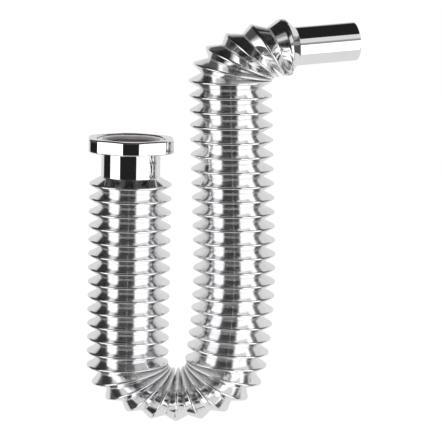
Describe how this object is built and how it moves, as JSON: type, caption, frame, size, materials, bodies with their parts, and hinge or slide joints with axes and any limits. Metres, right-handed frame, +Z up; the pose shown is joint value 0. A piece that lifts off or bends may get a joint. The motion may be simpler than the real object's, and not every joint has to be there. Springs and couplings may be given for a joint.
{
  "type": "flexible sink trap",
  "caption": "Flexible corrugated waste trap bent into a J, with a loose threaded coupling nut and washer at the inlet and a plain push-in spigot at the outlet.",
  "frame": {"origin": "middle of the washer's top face, where the end of the waste seats, on the inlet's axis", "axes": "+Z up along the inlet, +X from the inlet leg to the outlet leg, +Y to the back"},
  "size_m": [0.2257, 0.0864, 0.3402],
  "materials": {
    "chromed_hose": "bright metallised plastic",
    "chromed_nut": "bright plating on plastic",
    "washer": "matt warm grey"
  },
  "bodies": {
    "hose": {"inlet_cuff": "chromed_hose", "inlet_folds": "chromed_hose", "bottom_inlet_folds": "chromed_hose", "bottom_outlet_folds": "chromed_hose", "outlet_folds": "chromed_hose", "top_folds": "chromed_hose", "outlet_spigot": "chromed_hose", "sealing_washer": "washer"},
    "nut": {"coupling_nut": "chromed_nut"}
  },
  "joints": [
    {"name": "nut_spin", "type": "hinge", "parent": "hose", "child": "nut", "pos_m": [0, 0, 0], "axis": [0, 0, 1], "continuous": true}
  ]
}
